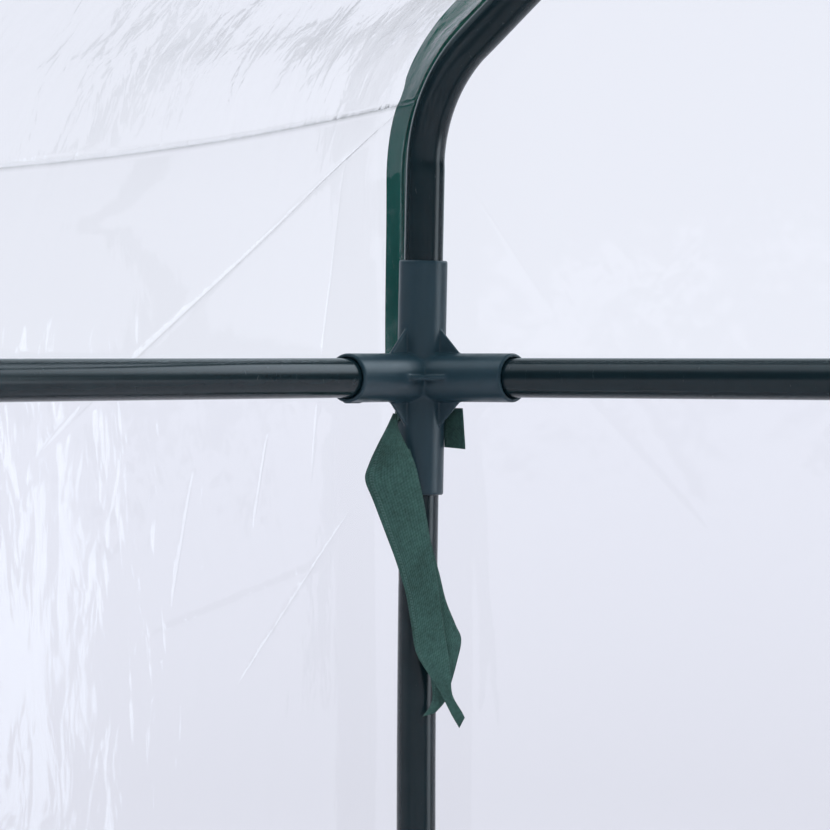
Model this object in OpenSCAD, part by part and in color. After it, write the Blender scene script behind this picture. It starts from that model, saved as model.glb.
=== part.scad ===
// Mini greenhouse: a push-fit steel tube frame in moulded corner connectors, under a
// clear film cover with bound seams, tie straps and a zipped door flap.
// Origin: centre of the base on the ground. +X along the ridge, -Y out of the door.

/* [Frame] */
// Distance between the end frames, post axis to post axis
frame_l = 980; // [800:10:1400]
// Distance between front and back posts, axis to axis
frame_w = 480; // [460:10:560]
// Height of the eave connectors' centres
eave_h = 440; // [400:10:600]
// Outside diameter of the steel tube
tube_d = 16; // [14:0.5:20]
// Wall of the steel tube
tube_wall = 0.8; // [0.6:0.1:1.2]

/* [Roof] */
// Straight length of the roof tube above the eave connector
bow_rise = 87; // [70:1:110]
// Centreline radius of the roof tube's bend
bow_r = 64; // [50:1:90]
// Angle of the roof tube from vertical, past the bend
bow_angle = 52; // [45:1:60]
// Inward lean of the roof tube in its socket
bow_lean = 1.5; // [0:0.5:2]
// How far the film droops at the middle of the eave
film_sag = 48; // [0:1:60]

/* [Connectors] */
// Length of a socket from the connector's centre
socket_l = 48; // [40:1:60]
// Wall of a socket
socket_wall = 1.85; // [1.5:0.05:2.5]
// Radial clearance of the tube in its socket
socket_play = 0.05; // [0.02:0.01:0.1]
// Leg of a gusset beyond the sockets
gusset_leg = 10; // [6:0.5:14]
// Thickness of a gusset
gusset_t = 1.8; // [1:0.1:3]

/* [Cover] */
// Thickness of the film panels
film_t = 0.5; // [0.4:0.1:1]
// Gap from the post axis to the long walls' film
wall_gap = 17.5; // [14:0.5:22]
// Gap from the post axis to the gable film
gable_gap = 10.4; // [9.5:0.1:14]
// Gap from the roof tube axis to the roof film
roof_gap = 15.5; // [12:0.5:20]
// Radius of the film over the eave
eave_r = 80; // [60:1:90]
// Width of the binding tape on the seams
binding_w = 10; // [6:1:16]
// Height of the seam between wall film and roof film above the eave connector
seam_rise = 114; // [100:1:120]

/* [Door] */
// Width of the door flap
door_w = 756; // [560:4:760]
// Width of one half of the zip's chain
chain_w = 2.1; // [1.5:0.1:3]
// Height of the zip slider
slider_h = 16; // [12:1:20]
// Length of the zip pull
pull_l = 28; // [20:1:36]

/* [Tie straps] */
// Width of the woven tape
tie_w = 15; // [10:1:20]
// Thickness of the doubled tape
tie_t = 1.2; // [0.8:0.1:2]

/* [Hidden] */
$fn = 64;

tube_color = "#1e292f";
connector_color = "#2d3f48";
film_color = [0.86, 0.90, 0.96, 0.35];
binding_color = "#14603f";
tape_color = "#3a5352";
zip_color = "#e9ecef";

// Frame
tube_r = tube_d/2;
post_x = frame_l/2;
post_y = frame_w/2;
base_z = 11;
tube_stop = 13.5;
socket_r = tube_r + socket_play + socket_wall;
bore_r = tube_r + socket_play;
bore_stop = 13;
hub_swell = 0.5;

// Roof tube, in the plane of a gable: y outwards, z up
bend_start = [post_y - bow_rise*sin(bow_lean), eave_h + bow_rise*cos(bow_lean)];
bend_c = bend_start - bow_r*[cos(bow_lean), sin(bow_lean)];
bend_end = bend_c + bow_r*[cos(bow_angle), sin(bow_angle)];
slope_l = bend_end[0]/sin(bow_angle);
ridge_z = bend_end[1] + slope_l*cos(bow_angle);

// Cover outline, in the same plane
wall_y = post_y + wall_gap;
gable_x = post_x + gable_gap;
hem_z = 2;
roof_n = [cos(bow_angle), sin(bow_angle)];
eave_c = [wall_y - eave_r, (roof_n*bend_end + roof_gap - eave_r - roof_n[0]*(wall_y - eave_r))/roof_n[1]];
seam_z = eave_h + seam_rise;
seam_a = asin((seam_z - eave_c[1])/eave_r);
binding_t = 1.2;
hem_t = 1;
// How much of the droop goes inwards, and how sharply it grows away from the eave and the ridge
sag_in = 0.4;
sag_power = 1.5;

// Door
door_bottom = 8;
door_top = 426;
door_x = door_w/2;
door_y = -wall_y - film_t;
hinge_y = -wall_y - 2.5;
hinge_z = door_top + 2;
chain_x = door_x + 2;
chain_gap = 0.8;
chain_y0 = -wall_y - 1.7;
chain_y1 = -wall_y + 0.3;
chain_top = door_top - 20;
slider_x = chain_x + chain_w + chain_gap/2;
slider_z = 40;
slider_w = 8;
plate_t = 1.2;
chain_play = 0.3;
zip_tape_w = 2;
front_edge = slider_x + chain_gap/2 + chain_w + zip_tape_w;
chain_bottom = slider_z + slider_h/2 + 2;
slider_y0 = chain_y0 - chain_play - plate_t;
slider_y1 = chain_y1 + chain_play + plate_t;
pin_r = 0.7;
pin_y = slider_y0 - 1.4;
pin_z = slider_z + 4;
lug_x = 2.2;
lug_t = 1;
lug_r = 0.9;
eye_r = 1.3;
neck_w = 4;
pull_w = 6;
pull_t = 1.2;
pull_hole_r = 1.5;
tape_t = 0.8;

module at_corner(x, y) { mirror([x < 0 ? 1 : 0, 0, 0]) mirror([0, y < 0 ? 1 : 0, 0]) children(); }
module plate(x0, x1, y0, y1, z0, z1) {
    translate([x0, y0, z0]) cube([x1 - x0, y1 - y0, z1 - z0]);
}

// Tubes
module pipe(l) {
    difference() {
        cylinder(r = tube_r, h = l);
        translate([0, 0, -1]) cylinder(r = tube_r - tube_wall, h = l + 2);
    }
}
module rail_x(y, z) {
    color(tube_color) translate([-post_x + tube_stop, y, z]) rotate([0, 90, 0])
        pipe(frame_l - 2*tube_stop);
}
module rail_y(x, z) {
    color(tube_color) translate([x, -post_y + tube_stop, z]) rotate([-90, 0, 0])
        pipe(frame_w - 2*tube_stop);
}
module post(x, y) {
    color(tube_color) translate([x, y, base_z + tube_stop]) pipe(eave_h - base_z - 2*tube_stop);
}
module ring(r) { difference() { circle(r = r); circle(r = r - tube_wall); } }
module roof_tube(x, y) {
    color(tube_color) at_corner(x, y) translate([post_x, 0, 0]) {
        translate([0, post_y, eave_h]) rotate([bow_lean, 0, 0]) translate([0, 0, tube_stop])
            pipe(bow_rise - tube_stop);
        translate([0, bend_c[0], bend_c[1]]) rotate([0, 90, 0]) rotate([0, 0, 90])
            rotate([0, 0, bow_lean]) rotate_extrude(angle = bow_angle - bow_lean)
                translate([bow_r, 0]) ring(tube_r);
        translate([0, bend_end[0], bend_end[1]]) rotate([bow_angle, 0, 0])
            pipe(slope_l - tube_stop);
    }
}

// Connectors: each arm is a rotation that turns +Z along its socket
module sockets(arms) {
    for (a = arms) rotate(a) cylinder(r = socket_r, h = socket_l);
}
module bores(arms) {
    for (a = arms) rotate(a) translate([0, 0, bore_stop]) cylinder(r = bore_r, h = socket_l);
}
// Web between the sockets along +X and +Z
module gusset(t) {
    near = socket_r - 1.5;
    far = socket_r + gusset_leg;
    rotate([90, 0, 0]) linear_extrude(t, center = true)
        polygon([[near, near], [far, near], [near, far]]);
}
module connector(arms, webs) {
    color(connector_color) difference() {
        union() {
            sphere(r = socket_r + hub_swell);
            sockets(arms);
            for (w = webs) rotate(w[0]) gusset(w[1]);
        }
        bores(arms);
    }
}
to_x = [0, 90, 0];
to_y = [-90, 0, 0];
level_web = [[[-90, 0, 0], gusset_t]];
upper_webs = [[[0, 0, 0], gusset_t*2/3], [[0, 0, 90], gusset_t*2/3]];
lower_webs = [[[0, 90, 0], gusset_t*2/3], [[0, 90, 90], gusset_t*2/3]];

// Both corner types are drawn for the corner at low X and low Y, with sockets towards +X and +Y
module base_corner(x, y) {
    at_corner(-x, -y) translate([-post_x, -post_y, base_z])
        connector([[0, 0, 0], to_x, to_y], concat(level_web, upper_webs));
    color(connector_color) translate([x*post_x, y*post_y, 0]) cylinder(r = socket_r + 2, h = 2);
}
module eave_corner(x, y) {
    at_corner(-x, -y) translate([-post_x, -post_y, eave_h])
        connector([[-bow_lean, 0, 0], [180, 0, 0], to_x, to_y],
                  concat(level_web, upper_webs, lower_webs));
}
module ridge_tee(x) {
    at_corner(-x, 1) translate([-post_x, 0, ridge_z])
        connector([[180 - bow_angle, 0, 0], [bow_angle - 180, 0, 0], to_x], []);
}

// Film: outline points of one side, drawn `inset` inside the cover's outer face
function arc(c, r, a0, a1, n) = [for (i = [0:n]) let (a = a0 + (a1 - a0)*i/n) c + r*[cos(a), sin(a)]];
function wall_line(z0, inset) = concat(
    [for (i = [0:3]) [wall_y - inset, z0 + (eave_h - z0)*i/3], [wall_y - inset, (eave_h + eave_c[1])/2]],
    arc(eave_c, eave_r - inset, 0, seam_a, 4));
function roof_line(inset) = concat(
    arc(eave_c, eave_r - inset, seam_a, bow_angle, 4),
    [for (i = [1:3]) bend_end + (roof_gap - inset)*roof_n + slope_l*i/4*[-sin(bow_angle), cos(bow_angle)]],
    arc([0, ridge_z], roof_gap - inset, bow_angle, 90, 3));
function gable_line(z0, inset) = concat([[wall_y - inset, z0]], arc(eave_c, eave_r - inset, 0, bow_angle, 12),
    arc([0, ridge_z], roof_gap - inset, bow_angle, 90, 6));
function both_sides(line) = concat(line, [for (i = [len(line) - 1:-1:0]) [-line[i][0], line[i][1]]]);

// Droop: none up to the eave rail and at the ridge, full at the seam, and none at the gables
ridge_top = ridge_z + roof_gap;
function droop(x, z) = let (
    up = max(0, z - eave_h)/seam_rise,
    down = max(0, ridge_top - z)/(ridge_top - seam_z))
    film_sag*(1 - pow(x/gable_x, 2))*pow(min(1, z < seam_z ? up : down), sag_power);
function hung(x, p, over) = let (d = droop(x, over[1])) [x, p[0] - sag_in*d, p[1] - d];

stations = 14;
module draped(line_out, line_in) {
    n = len(line_out);
    m = stations + 1;
    xs = [for (i = [0:stations]) -gable_x + 2*gable_x*i/stations];
    pts = concat([for (x = xs) for (p = line_out) hung(x, p, p)],
        [for (x = xs) for (j = [0:n - 1]) hung(x, line_in[j], line_out[j])]);
    inner = n*m;
    function quad(a, b, c, d) = [[a, b, c], [a, c, d]];
    faces = concat(
        [for (i = [0:stations - 1]) for (j = [0:n - 2]) for (f = quad(
            i*n + j, (i + 1)*n + j, (i + 1)*n + j + 1, i*n + j + 1)) f],
        [for (i = [0:stations - 1]) for (j = [0:n - 2]) for (f = quad(
            inner + i*n + j, inner + i*n + j + 1, inner + (i + 1)*n + j + 1, inner + (i + 1)*n + j)) f],
        [for (i = [0:stations - 1]) for (f = quad(
            i*n, inner + i*n, inner + (i + 1)*n, (i + 1)*n)) f],
        [for (i = [0:stations - 1]) for (f = quad(
            (i + 1)*n + n - 1, inner + (i + 1)*n + n - 1, inner + i*n + n - 1, i*n + n - 1)) f],
        [for (j = [0:n - 2]) for (f = quad(
            j, j + 1, inner + j + 1, inner + j)) f],
        [for (j = [0:n - 2]) for (f = quad(
            stations*n + j + 1, stations*n + j, inner + stations*n + j, inner + stations*n + j + 1)) f]);
    color(film_color) polyhedron(pts, faces);
}
module wall_panel(y, z0) {
    at_corner(1, y) draped(wall_line(z0, 0), wall_line(z0, film_t));
}
module roof_panel(y) { at_corner(1, y) draped(roof_line(0), roof_line(film_t)); }
module gable_sheet(x, line, t) {
    at_corner(x, 1) translate([gable_x, 0, 0]) rotate([90, 0, 90]) linear_extrude(t) polygon(line);
}
module gable_panel(x) { color(film_color) gable_sheet(x, both_sides(gable_line(hem_z, 0)), film_t); }
module front_panel(x) {
    color(film_color) at_corner(x, 1)
        plate(front_edge, gable_x, -wall_y, -wall_y + film_t, hem_z, hinge_z + 2);
}
// Stands out from the long sides' film above the eave, and from the gable film below it
module binding(x) {
    outer = gable_line(eave_h, -binding_w);
    inner = gable_line(eave_h, 0);
    color(binding_color) {
        gable_sheet(x, concat(both_sides(outer), [for (p = both_sides(inner)) [-p[0], p[1]]]), binding_t);
        for (y = [-1, 1]) at_corner(x, y)
            plate(gable_x, gable_x + binding_w, wall_y, wall_y + binding_t, hem_z, eave_h);
    }
}
module hem_binding() {
    z1 = hem_z + binding_w;
    color(binding_color) {
        plate(-gable_x, gable_x, wall_y, wall_y + hem_t, hem_z, z1);
        for (x = [-1, 1]) at_corner(x, 1) {
            plate(gable_x + film_t, gable_x + film_t + hem_t, -wall_y, wall_y, hem_z, z1);
            plate(front_edge, gable_x, -wall_y - hem_t, -wall_y, hem_z, z1);
        }
    }
}

// Door flap and its zips
module door_panel() { color(film_color) plate(-door_x, door_x, door_y, door_y + film_t, door_bottom, door_top); }
module door_hem() {
    color(binding_color) plate(-door_x + 1, door_x - 1, door_y - hem_t, door_y, door_bottom, door_bottom + binding_w);
}
module door_zip(x) {
    color(zip_color) at_corner(x, 1)
        plate(door_x, chain_x + chain_w, chain_y0, chain_y1, chain_bottom, chain_top);
}
module zip_track(x) {
    x0 = slider_x + chain_gap/2;
    color(zip_color) at_corner(x, 1)
        plate(x0, x0 + chain_w + zip_tape_w, chain_y0, chain_y1, slider_z - slider_h/2 - 2, hinge_z);
}
module zip_slider(x) {
    web_t = 0.4;
    color(zip_color) at_corner(x, 1) translate([slider_x, 0, slider_z]) {
        plate(-slider_w/2, slider_w/2, slider_y0, slider_y0 + plate_t, -slider_h/2, slider_h/2);
        plate(-slider_w/2, slider_w/2, slider_y1 - plate_t, slider_y1, -slider_h/2, slider_h/2);
        plate(-web_t/2, web_t/2, slider_y0, slider_y1, -slider_h/2, slider_h/2);
        for (s = [-1, 1]) translate([s*(lug_x + lug_t/2) - lug_t/2, pin_y - lug_r, pin_z - slider_z - lug_r])
            cube([lug_t, slider_y0 - pin_y + lug_r, 2*lug_r]);
        translate([-lug_x - lug_t/2, pin_y, pin_z - slider_z]) rotate([0, 90, 0])
            cylinder(r = pin_r, h = 2*lug_x + lug_t);
    }
}
module zip_pull(x) {
    color(zip_color) at_corner(x, 1) translate([slider_x, pin_y, pin_z]) difference() {
        union() {
            rotate([0, 90, 0]) cylinder(r = eye_r, h = neck_w, center = true);
            plate(-neck_w/2, neck_w/2, -pull_t/2, pull_t/2, -pull_w, 0);
            plate(-pull_w/2, pull_w/2, -pull_t/2, pull_t/2, -pull_l, 1 - pull_w);
        }
        rotate([0, 90, 0]) cylinder(r = pin_r + 0.05, h = 2*neck_w, center = true);
        rotate([90, 0, 0]) translate([0, -pull_l + 5, 0]) cylinder(r = pull_hole_r, h = 4, center = true);
    }
}

// Tie straps. The long tail hangs in the upright plane that faces the middle of the greenhouse,
// the short tail lies along the gable film, and the band passes behind the lower socket.
tail_turn = 51.3;
tail_out = socket_r + 2;
band_z = -28;
band_from = 76;
band_to = 206;
long_tail = [[-9, -20], [-15, -22], [-23, -42], [-14, -65], [-6, -88], [-2, -112], [2.5, -138], [16, -142],
    [14, -115], [16, -107], [6, -76], [0, -47]];
module tie(x, y) {
    color(tape_color) at_corner(x, y) translate([post_x, post_y, eave_h]) {
        rotate([0, 0, -tail_turn]) {
            translate([0, -tail_out, 0]) rotate([90, 0, 0]) linear_extrude(tie_t, center = true)
                polygon(long_tail);
            translate([0, 0, band_z]) rotate([0, 0, band_from]) rotate_extrude(angle = band_to - band_from)
                translate([socket_r + 0.3, 0]) square([tie_t, tie_w]);
        }
        plate(gable_gap - 1, gable_gap - 0.1, -14.5, -4.5, band_z, band_z + tie_w);
    }
}
door_tie_x = 230;
door_tie_l = 130;
module door_tie_outer(x) {
    color(tape_color) at_corner(x, 1) plate(door_tie_x, door_tie_x + tie_w, door_y - tape_t, door_y,
        door_top - door_tie_l, door_top - 2);
}
module door_tie_inner(x) {
    color(tape_color) at_corner(x, 1) plate(door_tie_x, door_tie_x + tie_w, -wall_y + film_t, -wall_y + film_t + tape_t,
        hinge_z + 12 - door_tie_l, hinge_z + 12);
}

rail_x(-post_y, base_z);  // base_rail_front
rail_x(post_y, base_z);  // base_rail_back
rail_y(-post_x, base_z);  // base_rail_left
rail_y(post_x, base_z);  // base_rail_right
post(-post_x, -post_y);  // post_front_left
post(post_x, -post_y);  // post_front_right
post(-post_x, post_y);  // post_back_left
post(post_x, post_y);  // post_back_right
rail_x(-post_y, eave_h);  // eave_rail_front
rail_x(post_y, eave_h);  // eave_rail_back
rail_y(-post_x, eave_h);  // eave_rail_left
rail_y(post_x, eave_h);  // eave_rail_right
roof_tube(-1, -1);  // roof_tube_front_left
roof_tube(1, -1);  // roof_tube_front_right
roof_tube(-1, 1);  // roof_tube_back_left
roof_tube(1, 1);  // roof_tube_back_right
rail_x(0, ridge_z);  // ridge_rail
base_corner(-1, -1);  // base_corner_front_left
base_corner(1, -1);  // base_corner_front_right
base_corner(-1, 1);  // base_corner_back_left
base_corner(1, 1);  // base_corner_back_right
eave_corner(-1, -1);  // eave_corner_front_left
eave_corner(1, -1);  // eave_corner_front_right
eave_corner(-1, 1);  // eave_corner_back_left
eave_corner(1, 1);  // eave_corner_back_right
ridge_tee(-1);  // ridge_tee_left
ridge_tee(1);  // ridge_tee_right
gable_panel(-1);  // gable_panel_left
gable_panel(1);  // gable_panel_right
wall_panel(1, hem_z);  // back_wall_panel
roof_panel(1);  // roof_panel_back
roof_panel(-1);  // roof_panel_front
wall_panel(-1, hinge_z + 2);  // front_top_panel
front_panel(-1);  // front_panel_left
front_panel(1);  // front_panel_right
binding(-1);  // binding_left
binding(1);  // binding_right
hem_binding();
door_panel();
door_hem();
door_zip(-1);  // door_zip_left
door_zip(1);  // door_zip_right
zip_track(-1);  // zip_track_left
zip_track(1);  // zip_track_right
zip_slider(-1);  // zip_slider_left
zip_slider(1);  // zip_slider_right
zip_pull(-1);  // zip_pull_left
zip_pull(1);  // zip_pull_right
tie(-1, -1);  // tie_front_left
tie(1, -1);  // tie_front_right
tie(-1, 1);  // tie_back_left
tie(1, 1);  // tie_back_right
door_tie_outer(-1);  // door_tie_outer_left
door_tie_outer(1);  // door_tie_outer_right
door_tie_inner(-1);  // door_tie_inner_left
door_tie_inner(1);  // door_tie_inner_right
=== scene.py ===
import math

import bpy
import numpy as np
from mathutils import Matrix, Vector


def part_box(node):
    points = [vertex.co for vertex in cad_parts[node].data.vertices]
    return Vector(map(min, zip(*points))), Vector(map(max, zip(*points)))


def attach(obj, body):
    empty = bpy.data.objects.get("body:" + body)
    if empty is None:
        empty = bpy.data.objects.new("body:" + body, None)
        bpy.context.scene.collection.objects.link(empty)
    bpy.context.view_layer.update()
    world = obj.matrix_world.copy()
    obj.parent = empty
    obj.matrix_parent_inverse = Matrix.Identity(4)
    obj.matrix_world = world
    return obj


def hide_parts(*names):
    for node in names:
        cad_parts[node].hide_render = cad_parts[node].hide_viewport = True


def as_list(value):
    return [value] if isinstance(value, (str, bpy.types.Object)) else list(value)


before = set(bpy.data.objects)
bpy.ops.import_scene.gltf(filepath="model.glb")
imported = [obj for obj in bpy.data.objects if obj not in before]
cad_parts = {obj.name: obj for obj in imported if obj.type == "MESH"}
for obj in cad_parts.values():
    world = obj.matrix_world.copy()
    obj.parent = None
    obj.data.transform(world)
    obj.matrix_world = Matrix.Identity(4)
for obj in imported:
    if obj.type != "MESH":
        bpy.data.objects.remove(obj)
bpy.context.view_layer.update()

MM = 0.001

# ---- Driving dimensions, from the frame where it holds them ----


def middle(node):
    low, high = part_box(node)
    return (np.array(low) + np.array(high)) / 2


POST_X, POST_Y = middle("post_back_right")[:2]
EAVE_Z = middle("eave_rail_back")[2]
BASE_Z = middle("base_rail_back")[2]
RIDGE_Z = middle("ridge_rail")[2]
TUBE_R = (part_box("ridge_rail")[1][2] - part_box("ridge_rail")[0][2]) / 2
GABLE_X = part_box("gable_panel_right")[0][0]
WALL_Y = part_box("back_wall_panel")[1][1]
HEM_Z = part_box("back_wall_panel")[0][2]
DOOR_LOW, DOOR_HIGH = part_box("door_panel")
HINGE_Z = DOOR_HIGH[2] + 2 * MM
TUBE_STOP = 13.5 * MM
SOCKET_R = 9.9 * MM
SOCKET_L = 48 * MM

# Roof tube and cover outline in a gable's plane, y outwards and z up, as in the CAD
LEAN = math.radians(1.5)
PITCH = math.radians(52)
BOW_RISE = 87 * MM
BOW_R = 64 * MM
EAVE_R = 80 * MM
ROOF_GAP = 15.5 * MM
SAG = 48 * MM
BINDING_W = 10 * MM


def arm(angle):
    return np.array([-math.sin(angle), math.cos(angle)])


def out(angle):
    return np.array([math.cos(angle), math.sin(angle)])


bend_start = np.array([POST_Y, EAVE_Z]) + BOW_RISE * arm(LEAN)
bend_centre = bend_start - BOW_R * out(LEAN)
bend_end = bend_centre + BOW_R * out(PITCH)
slope_length = bend_end[0] / math.sin(PITCH)
eave_cy = WALL_Y - EAVE_R
eave_cz = (out(PITCH) @ bend_end + ROOF_GAP - EAVE_R - out(PITCH)[0] * eave_cy) / out(PITCH)[1]
SEAM_Z = EAVE_Z + 114 * MM

AX, AY, AZ = np.eye(3)
CORNER = np.array([POST_X, POST_Y, EAVE_Z])
# The upright plane that faces the camera at that corner: across it and out of it, and the post's slant in it
TURN = math.radians(51.3)
ACROSS = np.array([math.cos(TURN), -math.sin(TURN), 0])
INWARD = np.array([-math.sin(TURN), -math.cos(TURN), 0])
POST_LEAN = math.radians(1)

# ---- Mesh helpers ----


def grid_faces(rows, cols, wrap=False):
    """Quads between the points of a grid, closed round the columns if it wraps."""
    i = np.arange(rows - 1)[:, None]
    j = np.arange(cols if wrap else cols - 1)[None, :]
    k = (j + 1) % cols
    return np.stack([i * cols + j, (i + 1) * cols + j, (i + 1) * cols + k, i * cols + k], -1).reshape(-1, 4)


def piece(name, verts, faces, material, slot, body="frame", nodes=(), smooth=True):
    """A new object from points and faces, riding on a body and standing for CAD nodes."""
    mesh = bpy.data.meshes.new(name)
    mesh.from_pydata(np.asarray(verts, float).tolist(), [], [list(map(int, f)) for f in faces])
    mesh.validate()
    mesh.polygons.foreach_set("use_smooth", [smooth] * len(mesh.polygons))
    mesh.materials.append(material)
    obj = bpy.data.objects.new(name, mesh)
    bpy.context.scene.collection.objects.link(obj)
    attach(obj, body)
    if nodes:
        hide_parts(*nodes)
    return obj


def normals_of(points):
    n = np.cross(np.gradient(points, axis=0), np.gradient(points, axis=1))
    return n / np.maximum(np.linalg.norm(n, axis=-1, keepdims=True), 1e-12)


def sheet_mesh(points, thickness):
    """A closed thin sheet from a grid of points: both skins and the rim."""
    rows, cols = points.shape[:2]
    back = points - normals_of(points) * np.reshape(thickness, (*np.shape(thickness), 1))
    verts = np.concatenate([points.reshape(-1, 3), back.reshape(-1, 3)])
    front = grid_faces(rows, cols)
    total = rows * cols
    edge = np.concatenate([
        np.arange(cols), np.arange(1, rows) * cols + cols - 1,
        np.arange(cols - 2, -1, -1) + (rows - 1) * cols, np.arange(rows - 2, 0, -1) * cols])
    after = np.roll(edge, -1)
    rim = np.stack([edge, after, after + total, edge + total], -1)
    return verts, np.concatenate([front, front[:, ::-1] + total, rim])


def sweep(path, radius, sides=48):
    """A round bar along a path, with a radius at each point, closed at both ends."""
    path = np.asarray(path, float)
    radius = np.broadcast_to(radius, len(path))
    tangent = np.gradient(path, axis=0)
    tangent /= np.linalg.norm(tangent, axis=1, keepdims=True)
    side = np.cross(tangent[0], [0.31, 0.54, 0.77])
    rings = []
    for p, t, r in zip(path, tangent, radius):
        side = side - (side @ t) * t
        side /= np.linalg.norm(side)
        other = np.cross(t, side)
        a = np.arange(sides) * 2 * math.pi / sides
        rings.append(p + r * (np.cos(a)[:, None] * side + np.sin(a)[:, None] * other))
    faces = [list(f[::-1]) for f in grid_faces(len(path), sides, wrap=True)]
    last = (len(path) - 1) * sides
    faces.append(list(range(sides))[::-1])
    faces.append([last + k for k in range(sides)])
    return np.concatenate(rings), faces


def joined(parts):
    """Several shapes as one."""
    verts, faces, base = [], [], 0
    for v, f in parts:
        verts.append(np.asarray(v, float))
        faces += [[base + int(k) for k in face] for face in f]
        base += len(v)
    return np.concatenate(verts), faces


def mirrored(verts, faces, x, y):
    """The same shape at the corner on side x, y of the greenhouse."""
    verts = np.asarray(verts, float) * [x, y, 1]
    if x * y < 0:
        faces = [list(f)[::-1] for f in faces]
    return verts, faces


# ---- Materials ----


class Graph:
    """A node tree, with short calls for the nodes that the materials and the world share."""

    def __init__(self, tree):
        self.nodes, self.links = tree.nodes, tree.links

    def put(self, socket, value):
        """Link a socket to another one, or set its own value."""
        if isinstance(value, bpy.types.NodeSocket):
            self.links.new(value, socket)
        else:
            socket.default_value = value

    def feed(self, node, **inputs):
        for name, value in inputs.items():
            self.put(node.inputs[name.replace("_", " ")], value)

    def node(self, kind, **inputs):
        node = self.nodes.new(kind)
        self.feed(node, **inputs)
        return node

    def math(self, kind, *values):
        node = self.nodes.new("ShaderNodeMath")
        node.operation = kind
        for socket, value in zip(node.inputs, values):
            self.put(socket, value)
        return node.outputs[0]

    def dot(self, vector, way):
        node = self.nodes.new("ShaderNodeVectorMath")
        node.operation = "DOT_PRODUCT"
        self.put(node.inputs[0], vector)
        self.put(node.inputs[1], way)
        return node.outputs["Value"]

    def surface(self, share, one, two):
        """The material's surface: two shaders, mixed by a share."""
        self.feed(self.nodes["Material Output"], Surface=self.mix_shader(share, one, two))

    def position(self, scale=(1, 1, 1), turn=(0, 0, 0)):
        """A point on the object, stretched and turned."""
        coord = self.node("ShaderNodeTexCoord").outputs["Object"]
        return self.node("ShaderNodeMapping", Vector=coord, Scale=scale, Rotation=turn).outputs["Vector"]

    def split(self, vector):
        return self.node("ShaderNodeSeparateXYZ", Vector=vector).outputs

    def noise(self, where, scale, detail=3.0, rough=0.5, bend=0.0):
        return self.node("ShaderNodeTexNoise", Vector=where, Scale=scale, Detail=detail, Roughness=rough,
                         Distortion=bend).outputs["Fac"]

    def ramp(self, value, low, high, *more):
        """Colours, or greys from single numbers, at places along a value."""
        node = self.node("ShaderNodeValToRGB", Fac=value)
        stops = (low, high, *more)
        while len(node.color_ramp.elements) < len(stops):
            node.color_ramp.elements.new(0.5)
        for element, (at, *colour) in zip(node.color_ramp.elements, stops):
            element.position = at
            element.color = (*colour, 1) if len(colour) == 3 else (*colour * 3, 1)
        return node.outputs["Color"]

    def mix(self, blend, share, one, two):
        """Two colours, blended by a share."""
        node = self.nodes.new("ShaderNodeMix")
        node.data_type = "RGBA"
        node.blend_type = blend
        for slot, value in ((0, share), (6, one), (7, two)):
            self.put(node.inputs[slot], value)
        return node.outputs[2]

    def mix_shader(self, share, one, two):
        node = self.nodes.new("ShaderNodeMixShader")
        for socket, source in zip(node.inputs, (share, one, two)):
            self.links.new(source, socket)
        return node.outputs[0]

    def bump(self, shader, height, strength, distance, below=None):
        """Relief on a shader, on top of the relief that is `below`, if any."""
        node = self.node("ShaderNodeBump", Strength=strength, Distance=distance, Height=height)
        if below is not None:
            self.feed(node, Normal=below)
        self.feed(shader, Normal=node.outputs["Normal"])
        return node.outputs["Normal"]


def material(name, colour, roughness, **more):
    mat = bpy.data.materials.new(name)
    mat.use_nodes = True
    graph = Graph(mat.node_tree)
    shader = graph.nodes["Principled BSDF"]
    graph.feed(shader, Base_Color=(*colour, 1), Roughness=roughness, **more)
    return mat, graph, shader


def tube_paint():
    """Dark green-black gloss paint with faint orange peel, handling marks and small scuffs."""
    mat, g, shader = material("tube_paint", (0.0085, 0.0165, 0.021), 0.2, Specular_IOR_Level=0.32)
    where = g.position()
    cloud = g.ramp(g.noise(where, 55, 5, 0.6), (0.3, 0.0046, 0.0142, 0.0188), (0.75, 0.0068, 0.0192, 0.0245))
    scratch = g.ramp(g.noise(g.position((1, 1, 0.12), (0.5, 0.3, 0)), 620, 3, 0.6),
                     (0.7, 0), (0.76, 0.012, 0.014, 0.015))
    g.feed(shader, Base_Color=g.mix("ADD", 1, cloud, scratch))
    scuff = g.noise(g.position((1, 1, 0.35)), 420, 6, 0.7)
    g.feed(shader, Roughness=g.ramp(scuff, (0.3, 0.17), (0.62, 0.2), (0.74, 0.38)))
    g.bump(shader, g.noise(where, 900, 2), 0.05, 0.2 * MM)
    return mat


def moulded_plastic():
    """Satin blue-green grey moulding with a fine spark-eroded grain and slight flow marks."""
    mat, g, shader = material("moulded_plastic", (0.0215, 0.0435, 0.058), 0.34, Specular_IOR_Level=0.38)
    where = g.position()
    flow = g.noise(g.position((1, 1, 0.5)), 60, 4, 0.55)
    g.feed(shader, Base_Color=g.ramp(flow, (0.3, 0.0178, 0.0435, 0.0590), (0.7, 0.0216, 0.0510, 0.0680)))
    g.feed(shader, Roughness=g.ramp(g.noise(where, 260, 5, 0.65), (0.35, 0.3), (0.7, 0.4)))
    g.bump(shader, g.noise(where, 2600, 2), 0.12, 0.15 * MM)
    return mat


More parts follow.
